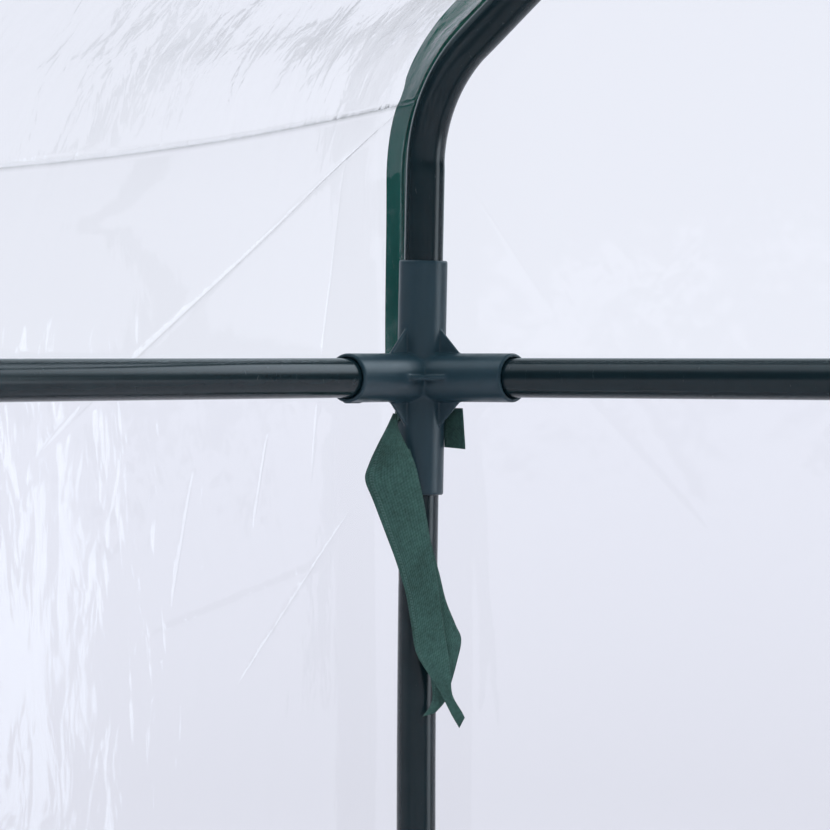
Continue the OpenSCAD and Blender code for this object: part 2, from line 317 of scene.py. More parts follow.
def crease_line(g, out_x, out_z, start, end, height, width):
    """The height of one long crease, from how far a point is inside the post and above the eave."""
    start, end = np.array(start), np.array(end)
    length = np.linalg.norm(end - start)
    way = (end - start) / length

    def product(kx, kz):
        across = g.math("MULTIPLY", g.math("SUBTRACT", out_x, start[0]), kx)
        up = g.math("MULTIPLY", g.math("SUBTRACT", out_z, start[1]), kz)
        return g.math("ADD", across, up)

    along = product(*way / length)
    off = g.math("ABSOLUTE", product(way[1] / width, -way[0] / width))
    body = g.math("MULTIPLY", along, g.math("SUBTRACT", 1, along))
    strength = g.math("MINIMUM", g.math("MULTIPLY", body, 8), 1)
    held = g.math("MULTIPLY", g.math("MAXIMUM", strength, 0), g.math("POWER", 0.37, off))
    return g.math("MULTIPLY", held, height / MM)


def clear_film(name, layers, axis="X", reach=0, creases=(), calm=0.12, shine=0.6):
    """Clear glossy PVC with creases: it mirrors more at a slant and lets the rest through with a slight tint.

    `layers` are all-over crinkles, `calm` is how strong they stay between patches, and `creases` are long
    ones, placed from `reach` along `axis` and from the eave."""
    mat, g, shader = material(name, (1, 1, 1), 0.05)
    g.nodes.remove(shader)
    clear = g.node("ShaderNodeBsdfTransparent", Color=(0.988, 0.991, 0.996, 1))
    gloss = g.node("ShaderNodeBsdfAnisotropic", Roughness=0.06, Color=(shine, 1.015 * shine, 1.03 * shine, 1))
    plain = g.position()
    patches = g.ramp(g.noise(plain, 9, 2), (0.4, calm), (0.6, 1))
    normal = g.bump(gloss, g.noise(plain, 30), 0.2, 1.2 * MM)
    for scale, turn, density, bend, height in layers:
        ridge = g.math("SUBTRACT", g.noise(g.position(scale, turn), density, 3, 0.45, bend), 0.5)
        crinkle = g.math("MULTIPLY", g.math("ABSOLUTE", ridge), patches)
        normal = g.bump(gloss, crinkle, 1, height, below=normal)
    place = g.split(plain)
    out_x = g.math("SUBTRACT", reach, g.math("ABSOLUTE", place[axis]))
    out_z = g.math("SUBTRACT", place["Z"], EAVE_Z)
    for crease in creases:
        normal = g.bump(gloss, crease_line(g, out_x, out_z, *crease), 1, MM, below=normal)
    facing = g.node("ShaderNodeLayerWeight", Blend=0.5, Normal=normal).outputs["Facing"]
    share = g.math("MULTIPLY_ADD", g.math("POWER", facing, 5), 0.95, 0.03)
    g.surface(share, clear.outputs["BSDF"], gloss.outputs["BSDF"])
    return mat


def binding_vinyl():
    """Glossy green vinyl tape that lets light through, most where only the roof film backs it."""
    mat, g, shader = material("binding_vinyl", (0.011, 0.075, 0.06), 0.14, Specular_IOR_Level=0.22)
    where = g.position()
    green = g.ramp(g.noise(where, 35, 4), (0.3, 0.010, 0.080, 0.070), (0.7, 0.018, 0.118, 0.102))
    g.feed(shader, Base_Color=green)
    low = g.bump(shader, g.noise(g.position((2.5, 2.5, 0.4)), 60), 0.8, 1.5 * MM)
    g.bump(shader, g.noise(where, 700, 3, 0.6), 0.2, 0.4 * MM, below=low)
    glow = g.node("ShaderNodeBsdfTranslucent", Color=(0.004, 0.42, 0.2, 1))
    share = g.node("ShaderNodeMapRange", Value=g.split(where)["Z"], From_Min=SEAM_Z,
                   From_Max=SEAM_Z + 30 * MM, To_Min=0.08, To_Max=0.3)
    g.surface(share.outputs["Result"], shader.outputs["BSDF"], glow.outputs["BSDF"])
    return mat


def woven_tape():
    """Dark green twill tape: cords along it, fine weft and faint edge stitches, in millimetres of tape."""
    mat, g, shader = material("woven_tape", (0.04, 0.085, 0.08), 0.8, Sheen_Weight=0.05,
                              Specular_IOR_Level=0.25)
    uv = g.node("ShaderNodeUVMap").outputs["UV"]
    waves = []
    for way, scale, bend in (("X", 0.36, 0.3), ("DIAGONAL", 0.5, 0.5)):
        wave = g.node("ShaderNodeTexWave", Vector=uv, Scale=scale, Distortion=bend)
        wave.bands_direction = way
        waves.append(wave.outputs["Fac"])
    weave = g.math("MULTIPLY", g.math("ADD", *waves), 0.5)
    place = g.split(uv)
    line = g.math("LESS_THAN", g.math("ABSOLUTE", g.math("SUBTRACT", place["X"], 1.9)), 0.5)
    faint = g.math("MULTIPLY", g.noise(g.position(), 90, 2), 0.75)
    gap = g.math("LESS_THAN", g.math("FRACT", g.math("MULTIPLY", place["Y"], 0.8)), 0.5)
    stitch = g.math("MULTIPLY", g.math("MULTIPLY", line, faint), gap)
    fuzz, broad = g.noise(g.position(), 700, 4, 0.7), g.noise(g.position(), 70, 2)
    both = g.math("ADD", g.math("MULTIPLY", fuzz, 0.6), g.math("MULTIPLY", broad, 0.4))
    worn = g.mix("MULTIPLY", 0.8, g.ramp(weave, (0.1, 0.043, 0.102, 0.088), (0.85, 0.056, 0.130, 0.112)),
                 g.ramp(both, (0.36, 0.6), (0.62, 1.3)))
    g.feed(shader, Base_Color=g.mix("MIX", stitch, worn, (0.11, 0.2, 0.18, 1)))
    g.bump(shader, weave, 0.5, 0.3 * MM)
    return mat


def zip_nylon():
    mat, g, shader = material("zip_nylon", (0.75, 0.77, 0.78), 0.42)
    where = g.position()
    g.feed(shader, Base_Color=g.ramp(g.noise(where, 90), (0.3, 0.7, 0.72, 0.73), (0.7, 0.8, 0.815, 0.82)))
    g.bump(shader, g.noise(where, 1400, 2), 0.2, 0.3 * MM)
    return mat


def zip_enamel():
    mat, g, shader = material("zip_enamel", (0.8, 0.81, 0.82), 0.25)
    wear = g.noise(g.position(), 500, 4, 0.6)
    g.feed(shader, Base_Color=g.ramp(wear, (0.35, 0.8, 0.81, 0.82), (0.72, 0.62, 0.64, 0.66)))
    g.feed(shader, Roughness=g.ramp(wear, (0.3, 0.2), (0.75, 0.4)))
    return mat


def thread():
    mat, g, shader = material("thread", (0.012, 0.07, 0.05), 0.6)
    green = g.ramp(g.noise(g.position(), 1200, 2), (0.3, 0.008, 0.05, 0.036), (0.7, 0.018, 0.09, 0.065))
    g.feed(shader, Base_Color=green)
    return mat


PAINT = tube_paint()
PLASTIC = moulded_plastic()
# Crinkles: stretch, turn, density, bend and height
WALL_LAYERS = [
    ((1.6, 1, 0.5), (0, 0.3, 0), 18, 0.6, 1.3 * MM), ((1.5, 1, 0.5), (0, 0.5, 0), 50, 0.5, 0.5 * MM)]
ROOF_LAYERS = [
    ((1.7, 0.9, 0.9), (0, 0, 0.35), 15, 0.9, 2.2 * MM), ((2.0, 0.8, 0.8), (0.3, 0.2, -0.5), 33, 0.7, 1.3 * MM),
    ((1.5, 1, 1), (0, 0.4, 0.9), 70, 0.5, 0.5 * MM)]
# Long creases: start and end, inside the post and above the eave, then height and width
WALL_CREASES = [
    ((-0.006, 0.114), (0.21, -0.030), 0.7 * MM, 1.1 * MM), ((0.03, 0.10), (0.05, -0.05), 0.2 * MM, 1.4 * MM),
    ((0.075, -0.02), (0.085, -0.06), 0.25 * MM, 0.8 * MM), ((0.04, -0.075), (0.15, -0.10), 0.3 * MM, 1.3 * MM),
    ((0.12, -0.035), (0.135, -0.09), 0.3 * MM, 1.0 * MM), ((0.02, -0.05), (0.10, -0.125), 0.3 * MM, 1.2 * MM)]
GABLE_CREASES = [
    ((0.012, 0.086), (0.060, 0.026), 0.4 * MM, 0.9 * MM),
    ((0.062, 0.005), (0.136, -0.060), 0.4 * MM, 0.9 * MM)]
PLAIN_FILM = clear_film("plain_film", WALL_LAYERS)
WALL_FILM = clear_film("wall_film", WALL_LAYERS, "X", POST_X, WALL_CREASES)
GABLE_FILM = clear_film("gable_film", WALL_LAYERS, "Y", POST_Y, GABLE_CREASES)
ROOF_FILM = clear_film("roof_film", ROOF_LAYERS, calm=0.6, shine=0.9)
VINYL = binding_vinyl()
TAPE = woven_tape()
NYLON = zip_nylon()
ENAMEL = zip_enamel()
THREAD = thread()

SIDES = {"left": -1, "right": 1}
DEPTHS = {"front": -1, "back": 1}
CORNERS = [(a, b, SIDES[b], DEPTHS[a]) for a in DEPTHS for b in SIDES]

# ---- Tubes ----


def straight(name, start, end):
    """A straight tube between two points, with a ring about every 20 mm."""
    start, end = np.array(start, float), np.array(end, float)
    count = max(2, int(np.linalg.norm(end - start) / 0.02))
    path = start + (end - start) * np.linspace(0, 1, count)[:, None]
    piece(name + "_tube", *sweep(path, TUBE_R), PAINT, "steel_tube", nodes=[name])


# How much thinner the tube is between the bending dies
DIE_STEP = 0.16 * MM


def roof_tube_path():
    """Local points of the tube at the corner of high X and high Y, with its radius at each."""
    rise = [bend_start - arm(LEAN) * d for d in np.linspace(BOW_RISE - TUBE_STOP, 0, 34, endpoint=False)]
    bend = [bend_centre + BOW_R * out(a) for a in np.linspace(LEAN, PITCH, 40, endpoint=False)]
    slope = [bend_end + arm(PITCH) * d for d in np.linspace(0, slope_length - TUBE_STOP, 30)]
    path = np.array([[POST_X, y, z] for y, z in rise + bend + slope])
    along = np.concatenate([[0], np.cumsum(np.linalg.norm(np.diff(path, axis=0), axis=1))])
    start = BOW_RISE - TUBE_STOP
    end = start + BOW_R * (PITCH - LEAN)

    def die_step(at):
        return DIE_STEP / (1 + np.exp(-(along - at) / (0.5 * MM)))

    return path, TUBE_R - die_step(start) + die_step(end)


def tubes():
    end_x, end_y = POST_X - TUBE_STOP, POST_Y - TUBE_STOP
    for rail, z in (("base_rail_", BASE_Z), ("eave_rail_", EAVE_Z)):
        for a, y in DEPTHS.items():
            straight(rail + a, (-end_x, y * POST_Y, z), (end_x, y * POST_Y, z))
        for b, x in SIDES.items():
            straight(rail + b, (x * POST_X, -end_y, z), (x * POST_X, end_y, z))
    straight("ridge_rail", (-end_x, 0, RIDGE_Z), (end_x, 0, RIDGE_Z))
    path, radius = roof_tube_path()
    length = EAVE_Z - BASE_Z - TUBE_STOP
    down = np.linspace(TUBE_STOP, length, 40)
    bow = down * math.tan(POST_LEAN) * (1 - (down / length) ** 2) ** 2
    post = CORNER - bow[:, None] * ACROSS - down[:, None] * AZ
    for a, b, x, y in CORNERS:
        for name, shape in ((f"post_{a}_{b}", sweep(post * [x, y, 1], TUBE_R)),
                            (f"roof_tube_{a}_{b}", mirrored(*sweep(path, radius, 64), x, y))):
            piece(name + "_tube", *shape, PAINT, "steel_tube", nodes=[name])


# ---- Moulded connectors: a signed distance with rounded joins, turned into a mesh ----


def blend_min(a, b, k):
    """The nearer of two distances, rounded where they meet."""
    h = np.clip(0.5 + 0.5 * (b - a) / k, 0, 1)
    return b * (1 - h) + a * h - k * h * (1 - h)


def blend_max(a, b, k):
    """The farther of two distances, rounded where they meet."""
    return -blend_min(-a, -b, k)


def round_axis(p, axis):
    """How far along an axis and how far from it a point is."""
    t = p @ axis
    return t, np.linalg.norm(p - t[..., None] * axis, axis=-1)


def socket_solid(p, axis):
    t, rho = round_axis(p, axis)
    return blend_max(blend_max(rho - SOCKET_R, t - SOCKET_L, 1.1 * MM), -t - 4 * MM, 1 * MM)


def socket_bore(p, axis):
    t, rho = round_axis(p, axis)
    lead_in = np.maximum(t - SOCKET_L + 1.2 * MM, 0) * 0.35
    return blend_max(rho - TUBE_R - 0.12 * MM - lead_in, 13 * MM - t, 0.4 * MM)


def web_solid(p, one, two, thick):
    """A thin triangle between two sockets."""
    a, b = p @ one, p @ two
    side = np.abs(p @ np.cross(one, two)) - thick / 2
    reach = 2 * SOCKET_R + 9 * MM + thick
    return blend_max(blend_max((a + b - reach) / math.sqrt(2), side, 0.35 * MM),
                     blend_max(-a, -b, 0.5 * MM), 0.5 * MM)


def connector_field(arms, webs, foot=None, lip=None):
    """The distance to a connector with sockets along `arms`, webs between pairs of them, a foot and a lip."""
    def field(p):
        d = np.linalg.norm(p, axis=-1) - SOCKET_R
        for axis in arms:
            d = blend_min(d, socket_solid(p, axis), 0.9 * MM)
        for one, two, thick in webs:
            d = blend_min(d, web_solid(p, one, two, thick), 0.6 * MM)
        if foot is not None:
            rho, z = np.hypot(p[..., 0], p[..., 1]), p[..., 2]
            disc = blend_max(rho - SOCKET_R - 1.9 * MM, np.abs(z + foot - MM) - MM, 0.6 * MM)
            stem = blend_max(rho - SOCKET_R, np.abs(z + foot / 2) - foot / 2, MM)
            d = blend_min(blend_min(d, disc, 1.2 * MM), stem, MM)
        if lip is not None:
            q = np.abs(p - lip[0]) - lip[1]
            d = blend_min(d, np.max(q, axis=-1), 0.5 * MM)
        for axis in arms:
            d = blend_max(d, -socket_bore(p, axis), 0.5 * MM)
        return d if foot is None else np.maximum(d, -p[..., 2] - foot)
    return field


CUBE = np.array([[i, j, k] for i in (0, 1) for j in (0, 1) for k in (0, 1)])
CUBE_EDGES = [(a, b) for a in range(8) for b in range(a + 1, 8) if np.abs(CUBE[a] - CUBE[b]).sum() == 1]


def mesh_of(field, low, high, step):
    """Surface nets of a signed distance, with its points pulled onto the surface."""
    axes = [np.arange(low[k], high[k] + step, step) for k in range(3)]
    grid = np.stack(np.meshgrid(*axes, indexing="ij"), -1)
    value = np.stack([field(layer) for layer in grid])
    shape = np.array(value.shape) - 1
    corners = [value[c[0]:c[0] + shape[0], c[1]:c[1] + shape[1], c[2]:c[2] + shape[2]] for c in CUBE]
    inside = sum((c < 0).astype(int) for c in corners)
    cells = np.argwhere((inside > 0) & (inside < 8))
    at = tuple(cells.T)
    total = np.zeros((len(cells), 3))
    count = np.zeros(len(cells))
    for a, b in CUBE_EDGES:
        va, vb = corners[a][at], corners[b][at]
        cross = (va < 0) != (vb < 0)
        share = np.where(cross, va / np.where(cross, va - vb, 1), 0)
        total += np.where(cross[:, None], CUBE[a] + share[:, None] * (CUBE[b] - CUBE[a]), 0)
        count += cross
    verts = np.array(low) + step * (cells + total / count[:, None])
    ident = -np.ones(shape, int)
    ident[at] = np.arange(len(cells))
    faces = []
    for k in range(3):
        one, two = (k + 1) % 3, (k + 2) % 3
        near = np.take(value, range(value.shape[k] - 1), k) < 0
        far = np.take(value, range(1, value.shape[k]), k) < 0
        spots = np.argwhere(near != far)
        spots = spots[(spots[:, one] > 0) & (spots[:, two] > 0)
                      & (spots[:, one] < shape[one]) & (spots[:, two] < shape[two])]
        leaving = near[tuple(spots.T)]
        quad = []
        for u, v in ((1, 1), (0, 1), (0, 0), (1, 0)):
            cell = spots.copy()
            cell[:, one] -= u
            cell[:, two] -= v
            quad.append(ident[tuple(cell.T)])
        quad = np.stack(quad, -1)
        faces.append(np.where(leaving[:, None], quad, quad[:, ::-1]))
    faces = np.concatenate(faces)
    e = 0.02 * MM
    for turn in range(3):
        here = field(verts)
        slope = np.stack([(field(verts + e * np.eye(3)[k]) - here) / e for k in range(3)], -1)
        size = np.maximum((slope ** 2).sum(-1), 0.2)
        pull = np.clip(here / size, -0.4 * step, 0.4 * step)
        verts = verts - pull[:, None] * slope
    return verts, faces


WEB_T = 1.8 * MM
THIN_WEB_T = 1.2 * MM


def connectors():
    pad = 2 * MM
    up = np.array([0, -math.sin(LEAN), math.cos(LEAN)])
    eave_webs = [(-AX, -AY, WEB_T)]
    eave_webs += [(side, z, THIN_WEB_T) for side in (-AX, -AY) for z in (AZ, -AZ)]
    lip = (np.array([-44 * MM, 0, 0.2 * MM - SOCKET_R]), np.array([3.6, 1.6, 0.5]) * MM)
    reach, back = SOCKET_L + pad, SOCKET_R + pad
    down = -math.cos(POST_LEAN) * AZ - math.sin(POST_LEAN) * ACROSS
    eave = mesh_of(connector_field([up, down, -AX, -AY], eave_webs, lip=lip),
                   (-reach, -reach, -reach), (back, back, reach), 0.62 * MM)
    base_webs = [(-AX, -AY, WEB_T), (-AX, AZ, THIN_WEB_T), (-AY, AZ, THIN_WEB_T)]
    base = mesh_of(connector_field([AZ, -AX, -AY], base_webs, foot=BASE_Z),
                   (-reach, -reach, -BASE_Z - pad), (back + pad, back + pad, reach), 0.8 * MM)
    slopes = [np.array([0, s * math.sin(PITCH), -math.cos(PITCH)]) for s in (-1, 1)]
    tee = mesh_of(connector_field([*slopes, -AX], []),
                  (-reach, -reach, -reach), (back, reach, back), 0.8 * MM)
    for a, b, x, y in CORNERS:
        for kind, shape, z in (("base_corner", base, BASE_Z), ("eave_corner", eave, EAVE_Z)):
            verts, faces = mirrored(shape[0] + [POST_X, POST_Y, z], shape[1], x, y)
            name = f"{kind}_{a}_{b}"
            piece(name + "_moulding", verts, faces, PLASTIC, "connector", nodes=[name])
    for b, x in SIDES.items():
        verts, faces = mirrored(tee[0] + [POST_X, 0, RIDGE_Z], tee[1], x, 1)
        piece(f"ridge_tee_{b}_moulding", verts, faces, PLASTIC, "connector", nodes=[f"ridge_tee_{b}"])


# ---- Clear film ----

FILM_T = 0.2 * MM


def smooth_step(x):
    x = np.clip(x, 0, 1)
    return x * x * (3 - 2 * x)


def fold(u, v, start, end, height, width, fade=0.12):
    """A sharp crease from start to end, dying away at both ends."""
    start, end = np.array(start), np.array(end)
    length = np.linalg.norm(end - start)
    along = (end - start) / length
    du, dv = u - start[0], v - start[1]
    t = (du * along[0] + dv * along[1]) / length
    d = np.abs(du * along[1] - dv * along[0])
    ends = smooth_step(t / fade) * smooth_step((1 - t) / fade)
    return height * np.exp(-d / width) * ends


def crumple(u, v, cell, height, seed, stretch=1.0, turn=0.0):
    """Flat facets meeting in creases: the distance to the nearest of scattered points."""
    local = np.random.default_rng(seed)
    c, s = math.cos(turn), math.sin(turn)
    a = (u * c + v * s) / (cell * stretch)
    b = (-u * s + v * c) / cell
    low_a, low_b = np.floor(a.min()) - 2, np.floor(b.min()) - 2
    size = (int(a.max() - low_a) + 4, int(b.max() - low_b) + 4)
    jitter = local.random((*size, 2))
    ia, ib = np.floor(a - low_a).astype(int), np.floor(b - low_b).astype(int)
    best = np.full(a.shape, 9.0)
    for i in (-1, 0, 1):
        for j in (-1, 0, 1):
            ka, kb = np.clip(ia + i, 0, size[0] - 1), np.clip(ib + j, 0, size[1] - 1)
            pa, pb = ka + jitter[ka, kb, 0] + low_a, kb + jitter[ka, kb, 1] + low_b
            best = np.minimum(best, np.hypot(a - pa, b - pb))
    return height * (best - 0.45)


def swell(u, v, length, height, seed):
    """Long soft waves."""
    local = np.random.default_rng(seed)
    total = np.zeros_like(u)
    for wave in range(7):
        angle, phase = local.random(2) * 2 * math.pi
        k = 2 * math.pi / (length * (0.6 + local.random()))
        total += np.sin(k * (u * math.cos(angle) + v * math.sin(angle)) + phase)
    return height * total / 4


def droop(x, z):
    """The cover's droop between the gables, as in the CAD but easing into the seam."""
    up = np.clip((z - EAVE_Z) / (SEAM_Z - EAVE_Z), 0, 1)
    up = 0.25 * up ** 1.5 + 0.75 * smooth_step(up)
    top = RIDGE_Z + ROOF_GAP
    down = np.clip((top - z) / (top - SEAM_Z), 0, 1) ** 1.5
    return SAG * (1 - (x / GABLE_X) ** 2) * np.where(z < SEAM_Z, up, down)


def side_profile():
    """Fine points up one side of the cover from its hem: wall, eave, roof and half of the ridge."""
    wall = [[WALL_Y, z] for z in np.linspace(HEM_Z, eave_cz, 400)]
    eave, ridge = np.array([eave_cy, eave_cz]), np.array([0, RIDGE_Z])
    curve = [eave + EAVE_R * out(a) for a in np.linspace(0, PITCH, 120)[1:]]
    start, stop = eave + EAVE_R * out(PITCH), ridge + ROOF_GAP * out(PITCH)
    roof = [start + (stop - start) * t for t in np.linspace(0, 1, 300)[1:]]
    cap = [ridge + ROOF_GAP * out(a) for a in np.linspace(PITCH, math.pi / 2, 40)[1:]]
    return np.array(wall + curve + roof + cap)


def resample(line, step):
    """The same line in even steps, and how far along it each point is."""
    along = np.concatenate([[0], np.cumsum(np.linalg.norm(np.diff(line, axis=0), axis=1))])
    count = max(3, int(round(along[-1] / step)) + 1)
    s = np.linspace(0, along[-1], count)
    return np.stack([np.interp(s, along, line[:, k]) for k in range(line.shape[1])], -1), s


def film_piece(name, points, relief, body, nodes, rests):
    """A sheet from its smooth points, moved along their normals by `relief`."""
    points = points + normals_of(points) * relief[..., None]
    thickness = np.full(points.shape[:2], 0.1 * FILM_T)
    thickness[1:-1, 1:-1] = FILM_T
    verts, faces = sheet_mesh(points, thickness)
    film = {"roof": ROOF_FILM, "back": WALL_FILM, "gabl": GABLE_FILM}.get(name[:4], PLAIN_FILM)
    obj = piece(name, verts, faces, film, "clear_film", body=body, nodes=nodes)
    skins = 2 * (points.shape[0] - 1) * (points.shape[1] - 1)
    obj.data.polygons.foreach_set("use_smooth", [k < skins for k in range(len(faces))])
    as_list(rests)


STEP = 3 * MM


def edge_fade(u, v, reach=0.1):
    """Zero at the sheet's sewn edges, one inside."""
    return (smooth_step((u - u.min()) / reach) * smooth_step((u.max() - u) / reach)
            * smooth_step((v - v.min()) / reach) * smooth_step((v.max() - v) / reach))


def long_sheets():
    """Back wall, both halves of the roof, and the front above the door."""
    full = side_profile()
    seam_row = int(np.argmax(full[:, 1] >= SEAM_Z))
    upper = int(np.argmax(full[:, 1] >= HINGE_Z + 2 * MM))
    spans = (("back_wall", full[:seam_row + 1], 1, "back_wall_panel", ["eave_rail_back", "base_rail_back"]),
             ("roof_back", full[seam_row:], 1, "roof_panel_back", ["ridge_rail", "roof_tube_back_right"]),
             ("roof_front", full[seam_row:], -1, "roof_panel_front", ["ridge_rail", "roof_tube_front_right"]),
             ("front_top", full[upper:seam_row + 1], -1, "front_top_panel", ["eave_rail_front"]))
    for number, (name, line, side, node, rests) in enumerate(spans):
        line, s = resample(line, STEP)
        x = np.linspace(-GABLE_X, GABLE_X, int(2 * GABLE_X / STEP))
        u, v = np.meshgrid(x, s, indexing="ij")
        y, z = line[:, 0] + 0 * u, line[:, 1] + 0 * u
        d = droop(u, z)
        points = np.stack([u, side * (y - 0.4 * d), z - d], -1)
        relief = film_relief(name, u, v, z, number)
        if side < 0:
            points, relief = points[:, ::-1], relief[:, ::-1]
        film_piece(name + "_film", points, relief, "frame", [node], rests)


def film_relief(name, u, v, z, seed):
    """Crumpled near the corners on the roof, gently waved on the walls."""
    a = POST_X - np.abs(u)
    if name.startswith("roof"):
        near_corner = np.exp(-(a / 0.28) ** 2)
        relief = crumple(u, v, 0.03, 1.1 * MM, 11 + seed, 2.0, 1.35) * (0.35 + 0.65 * near_corner)
        relief += crumple(u, v, 0.015, 0.35 * MM, 21 + seed, 2.2, 0.9) * (0.3 + 0.7 * near_corner)
        relief += swell(u, v, 0.22, 1.6 * MM, 31 + seed)
        return relief * smooth_step((v - v.min()) / 0.02) * edge_fade(u, v, 0.012)
    relief = crumple(u, v, 0.06, 0.5 * MM, 41 + seed, 2.2, 1.1) + swell(u, v, 0.3, 1.2 * MM, 51 + seed)
    relief += fold(a, z - EAVE_Z, (0.02, 0.1), (0.2, 0.075), 0.6 * MM, 3 * MM)
    return relief * edge_fade(u, v)


def gables():
    line = resample(side_profile(), STEP)[0]
    width = np.linspace(-1, 1, int(2 * WALL_Y / STEP))
    for b, x in SIDES.items():
        t, row = np.meshgrid(width, np.arange(len(line)), indexing="ij")
        y, z = t * line[row, 0], line[row, 1] + 0 * t
        y = np.where(row == len(line) - 1, t * line[-2, 0] * 0.02, y)
        points = np.stack([np.full_like(y, x * (GABLE_X + 0.25 * MM)), y, z], -1)
        out_y, h = POST_Y - np.abs(y), z - EAVE_Z
        relief = crumple(y, z, 0.07, 0.4 * MM, 61, 2.0, 0.9) + swell(y, z, 0.26, 0.9 * MM, 62)
        relief += fold(out_y, h, (0.017, 0.08), (0.06, 0.025), 0.45 * MM, 1.5 * MM)
        relief += fold(out_y, h, (0.095, 0.0), (0.135, -0.055), 0.5 * MM, 1.4 * MM)
        relief = np.abs(relief) * 0.6
        relief *= smooth_step((1 - np.abs(t)) * WALL_Y / 0.02) * smooth_step((z - HEM_Z) / 0.03)
        if x < 0:
            points, relief = points[::-1], relief[::-1]
        film_piece(f"gable_{b}_film", points, relief, "frame", [f"gable_panel_{b}"],
                   [f"eave_rail_{b}"])


def flat_sheet(name, low, high, y, seed, body, nodes, rests):
    """An upright film across the span of a CAD box, slightly waved."""
    x0, x1, z0, z1 = low[0], high[0], low[2], high[2]
    u, v = np.meshgrid(np.linspace(x0, x1, int((x1 - x0) / STEP)), np.linspace(z0, z1, int((z1 - z0) / STEP)),
                       indexing="ij")
    relief = crumple(u, v, 0.06, 0.35 * MM, seed, 2.2, 0.8) + swell(u, v, 0.24, 0.8 * MM, seed + 1)
    points = np.stack([u, np.full_like(u, y), v], -1)
    relief = np.abs(relief) * 0.5 * edge_fade(u, v)
    film_piece(name, points, relief, body, nodes, rests)


def fronts():
    for b, x in SIDES.items():
        flat_sheet(f"front_{b}_film", *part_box(f"front_panel_{b}"), -WALL_Y, 71 + x, "frame",
                   [f"front_panel_{b}"], ["base_rail_front", "eave_rail_front"])
    flat_sheet("door_film", DOOR_LOW, DOOR_HIGH, DOOR_LOW[1] + 0.25 * MM, 81, "door", ["door_panel"],
               ["eave_rail_front"])


# ---- Binding tape, hem and stitching ----


SHARES = np.array([-0.5, -0.25, 0, 0.25, 0.5])


def ribbon(line, across, thickness):
    """A flat closed strip: centre points, the half width vector at each, and a thickness."""
    points = line[:, None] + 2 * SHARES[:, None] * across[:, None]
    return sheet_mesh(points, thickness)


STITCH_PITCH = 3 * MM
STITCH_L = 2.4 * MM
THREAD_R = 0.22 * MM
SEAM_INSET = 1.5 * MM


def stitches(line):
    """Short raised threads along a line, thinner at their ends."""
    line = resample(line, STITCH_PITCH)[0]
    parts = []
    for p, q in zip(line[:-1], line[1:]):
        d = (q - p) / np.linalg.norm(q - p)
        path = (p + q) / 2 + STITCH_L * SHARES[:, None] * d
        parts.append(sweep(path, THREAD_R * np.array([0.4, 0.9, 1, 0.9, 0.4]), 6))
    return joined(parts)


def bindings():
    """Tape that stands out from the wall and roof film, and folds round the corner under the eave."""
    step = 4 * MM
    half = resample(side_profile(), step)[0]
    both = np.concatenate([half, (half * [-1, 1])[::-1][1:]])
    along = np.arange(len(both)) * step
    tangent = np.gradient(both, axis=0)
    tangent /= np.linalg.norm(tangent, axis=1, keepdims=True)
    normal = np.stack([0 * along, tangent[:, 1], -tangent[:, 0]], -1)
    turn = smooth_step((EAVE_Z + 4 * MM - both[:, 1]) / (16 * MM))[:, None] * math.pi / 2
    fin = np.cos(turn) * normal + np.sin(turn) * AX
    face = np.cos(turn) * AX + np.sin(turn) * normal
    root = np.stack([0 * along + GABLE_X, both[:, 0], both[:, 1]], -1)
    seam = np.exp(-np.abs(both[:, 1] - SEAM_Z) / (3 * MM))
    wave = 0.4 * MM * np.sin(along * 52) + 0.25 * MM * np.sin(along * 21 + 1) + 1.2 * MM * seam
    lift = (0.6 * MM + wave * np.cos(turn[:, 0]) + 0.7 * MM * np.sin(turn[:, 0]))[:, None]
    width = (BINDING_W * (1 - 0.14 * seam))[:, None]
    tape_t = 0.9 * MM
    for b, x in SIDES.items():
        flip = [x, 1, 1]
        line = root + fin * width / 2 + face * lift
        verts, faces = ribbon(line * flip, fin * flip * width / 2 * x, tape_t)
        obj = piece(f"binding_{b}_tape", verts, faces, VINYL, "binding", nodes=[f"binding_{b}"])
        for side, off in (("inner", -0.05 * MM), ("outer", 0.95 * MM)):
            path = root + fin * SEAM_INSET + face * (lift + off * np.cos(turn) - (tape_t - off) * np.sin(turn))
            piece(f"binding_{b}_{side}_stitching", *stitches(path * flip), THREAD, "binding")


def hems():
    """Tape along the bottom of the walls, except under the door."""
    z = HEM_Z + BINDING_W / 2
    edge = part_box("front_panel_right")[0][0]
    runs = [((-GABLE_X, WALL_Y), (GABLE_X, WALL_Y), (0, 1)),
            ((GABLE_X, WALL_Y), (GABLE_X, -WALL_Y), (1, 0)),
            ((-GABLE_X, -WALL_Y), (-GABLE_X, WALL_Y), (-1, 0)),
            ((GABLE_X, -WALL_Y), (edge, -WALL_Y), (0, -1)),
            ((-edge, -WALL_Y), (-GABLE_X, -WALL_Y), (0, -1))]
    tapes, threads = [], []
    for (x0, y0), (x1, y1), (nx, ny) in runs:
        gap = (0.5 if nx == 0 else 1.0) * MM
        count = max(4, int(math.hypot(x1 - x0, y1 - y0) / (5 * MM)))
        t = np.linspace(0, 1, count)
        shift = gap + 0.25 * MM * (1 + np.sin(t * count * 0.3))
        line = np.stack([x0 + (x1 - x0) * t + nx * shift, y0 + (y1 - y0) * t + ny * shift, 0 * t + z], -1)
        tapes.append(ribbon(line, np.tile([0, 0, -BINDING_W / 2], (count, 1)), 0.7 * MM))
        threads.append(stitches(line + [nx * 0.1 * MM, ny * 0.1 * MM, BINDING_W / 2 - SEAM_INSET]))
    obj = piece("hem_tape", *joined(tapes), VINYL, "binding", nodes=["hem_binding"])
    piece("hem_stitching", *joined(threads), THREAD, "binding")


# ---- Zips ----


ZIP_T = 0.6 * MM


